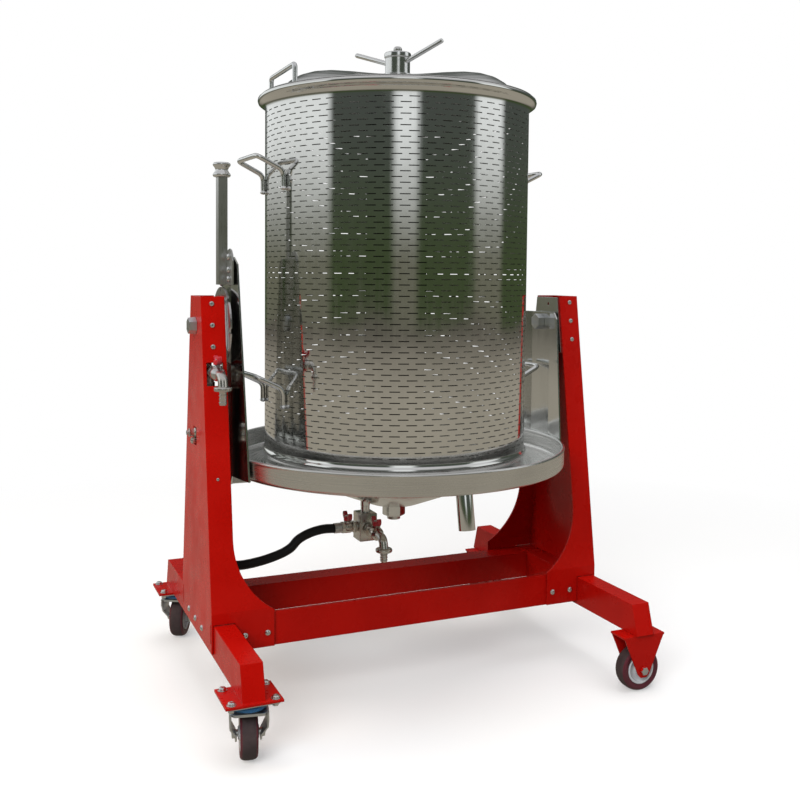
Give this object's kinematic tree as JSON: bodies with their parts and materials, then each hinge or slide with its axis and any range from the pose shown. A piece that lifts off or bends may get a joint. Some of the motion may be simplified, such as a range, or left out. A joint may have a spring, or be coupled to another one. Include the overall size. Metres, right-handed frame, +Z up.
{
  "type": "tilting basket wine press",
  "caption": "Floor-standing water-bladder wine press: slotted steel basket in a round juice tray, tilting between red uprights on a wheeled frame.",
  "frame": {"origin": "on the floor, midway between the uprights, straight below the tilting axis", "axes": "+Z up, -Y to the front, the side with the juice spout; +X from the lever and hose side to the fixed-wheel side"},
  "size_m": [0.901, 0.7309, 1.3137],
  "materials": {
    "red_paint": "glossy powder coat",
    "mirror_steel": "mirror-polished stainless steel",
    "satin_steel": "satin stainless steel",
    "zinc_plate": "zinc-plated steel",
    "nickel_brass": "nickel-plated brass",
    "black_rubber": "matt black hose",
    "tread_rubber": "brown-grey rubber",
    "hub_plastic": "pale grey moulded plastic",
    "red_plastic": "red coated tap handle",
    "bladder_rubber": "dark food-grade rubber"
  },
  "bodies": {
    "frame": {"upright_left": "red_paint", "upright_right": "red_paint", "bearing_bracket_left": "satin_steel", "bearing_bracket_right": "satin_steel", "trunnion_left": "zinc_plate", "trunnion_right": "zinc_plate", "leg_left": "red_paint", "leg_right": "red_paint", "index_disc": "satin_steel", "front_rail": "red_paint", "back_rail": "red_paint", "wheel_bracket_front": "red_paint", "wheel_bracket_rear": "red_paint", "caster_plate_front": "zinc_plate", "caster_plate_rear": "zinc_plate", "inlet_elbow": "nickel_brass", "inlet_tap": "nickel_brass", "bleed_valve": "nickel_brass", "hose": "black_rubber"},
    "bed": {"arm_left": "mirror_steel", "arm_right": "mirror_steel", "tray_foot_left": "satin_steel", "tray_foot_right": "satin_steel", "tray": "satin_steel", "tray_dish": "mirror_steel", "juice_spout": "mirror_steel", "centre_pipe": "satin_steel", "hub_nut": "satin_steel", "membrane": "bladder_rubber", "membrane_base": "satin_steel", "membrane_clamp": "satin_steel", "water_pipe": "satin_steel", "valve_block": "nickel_brass", "inlet_valve": "nickel_brass", "hose_ferrule": "zinc_plate", "drain_tap": "nickel_brass", "lever_tube": "satin_steel", "lever_bracket": "satin_steel"},
    "basket": {"basket_shell": "mirror_steel", "basket_handle_left_upper": "satin_steel", "basket_handle_left_lower": "satin_steel", "basket_handle_right_upper": "satin_steel", "basket_handle_right_lower": "satin_steel"},
    "lid": {"lid": "mirror_steel", "lid_handle": "satin_steel"},
    "star_nut": {"star_nut": "satin_steel"},
    "lock_pin": {"lock_pin": "satin_steel"},
    "inlet_tap_handle": {"inlet_tap_handle": "red_plastic"},
    "drain_tap_handle": {"drain_tap_handle": "red_plastic"},
    "inlet_valve_handle": {"inlet_valve_handle": "red_plastic"},
    "fixed_wheel_front": {"fixed_tyre_front": "tread_rubber", "fixed_hub_front": "hub_plastic"},
    "fixed_wheel_rear": {"fixed_tyre_rear": "tread_rubber", "fixed_hub_rear": "hub_plastic"},
    "caster_front": {"caster_fork_front": "zinc_plate"},
    "caster_rear": {"caster_fork_rear": "zinc_plate"},
    "caster_wheel_front": {"caster_tyre_front": "tread_rubber", "caster_hub_front": "hub_plastic"},
    "caster_wheel_rear": {"caster_tyre_rear": "tread_rubber", "caster_hub_rear": "hub_plastic"}
  },
  "joints": [
    {"name": "bed_tilt", "type": "hinge", "parent": "frame", "child": "bed", "pos_m": [0, 0, 0.732], "axis": [1, 0, 0], "range_deg": [0, 96], "deforming": ["hose"]},
    {"name": "lock_pin_pull", "type": "slide", "parent": "bed", "child": "lock_pin", "axis": [0, 0, 1], "range_m": [0, 0.014], "stiffness_N_per_m": 400, "springref_m": -0.01},
    {"name": "basket_lift", "type": "slide", "parent": "bed", "child": "basket", "axis": [0, 0, 1], "range_m": [0, 0.9]},
    {"name": "lid_lift", "type": "slide", "parent": "basket", "child": "lid", "axis": [0, 0, 1], "range_m": [0, 0.35]},
    {"name": "star_nut_turn", "type": "hinge", "parent": "lid", "child": "star_nut", "pos_m": [0, 0, 1.27], "axis": [0, 0, 1], "continuous": true},
    {"name": "inlet_tap_turn", "type": "hinge", "parent": "frame", "child": "inlet_tap_handle", "pos_m": [-0.402, -0.0883, 0.6623], "axis": [0, 0, 1], "range_deg": [0, 90]},
    {"name": "drain_tap_turn", "type": "hinge", "parent": "bed", "child": "drain_tap_handle", "pos_m": [-0.066, -0.0628, 0.3183], "axis": [0, 0, 1], "range_deg": [0, 90]},
    {"name": "inlet_valve_turn", "type": "hinge", "parent": "bed", "child": "inlet_valve_handle", "pos_m": [-0.106, 0, 0.3173], "axis": [0, 0, 1], "range_deg": [0, 90]},
    {"name": "caster_front_swivel", "type": "hinge", "parent": "frame", "child": "caster_front", "pos_m": [-0.4005, -0.312, 0.1], "axis": [0, 0, 1], "continuous": true},
    {"name": "caster_rear_swivel", "type": "hinge", "parent": "frame", "child": "caster_rear", "pos_m": [-0.4005, 0.312, 0.1], "axis": [0, 0, 1], "continuous": true},
    {"name": "caster_front_roll", "type": "hinge", "parent": "caster_front", "child": "caster_wheel_front", "pos_m": [-0.39717, -0.29635, 0.045], "axis": [0.9781, -0.2079, 0], "continuous": true},
    {"name": "caster_rear_roll", "type": "hinge", "parent": "caster_rear", "child": "caster_wheel_rear", "pos_m": [-0.39349, 0.32638, 0.045], "axis": [0.8988, -0.4384, 0], "continuous": true},
    {"name": "fixed_front_roll", "type": "hinge", "parent": "frame", "child": "fixed_wheel_front", "pos_m": [0.402, -0.32, 0.045], "axis": [0, 1, 0], "continuous": true},
    {"name": "fixed_rear_roll", "type": "hinge", "parent": "frame", "child": "fixed_wheel_rear", "pos_m": [0.402, 0.32, 0.045], "axis": [0, 1, 0], "continuous": true}
  ]
}
